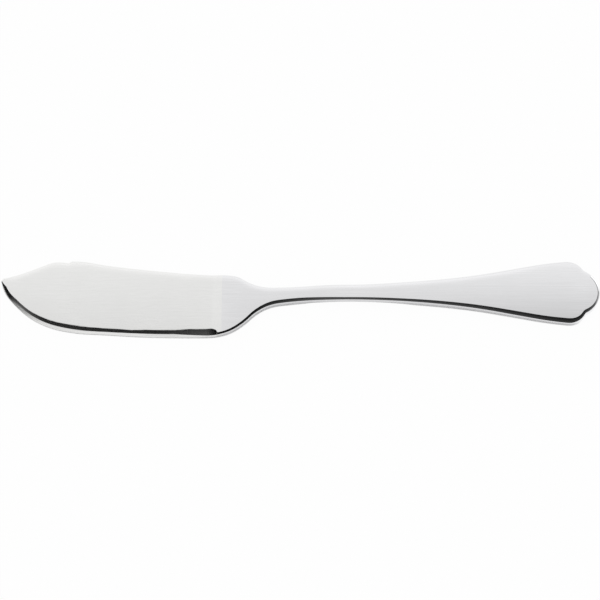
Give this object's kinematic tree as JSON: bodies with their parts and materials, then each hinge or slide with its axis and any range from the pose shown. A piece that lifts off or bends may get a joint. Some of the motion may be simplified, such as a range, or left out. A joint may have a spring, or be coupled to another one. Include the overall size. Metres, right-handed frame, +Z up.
{
  "type": "fish knife",
  "caption": "Flat polished-steel table fish knife with a broad scimitar blade, a notched spine, a ground edge, a slim neck and a flared, lobed handle.",
  "frame": {"origin": "middle of the knife's length and width, on the table it lies on", "axes": "+X from the tip to the handle's end, +Y towards the spine, +Z up off the table"},
  "size_m": [0.2, 0.0276, 0.0033],
  "materials": {
    "blade_steel": "bright polish over fine lengthwise grinding",
    "handle_steel": "mirror polish with faint hairlines"
  },
  "bodies": {
    "root": {"blade": "blade_steel", "handle": "handle_steel"}
  },
  "joints": []
}
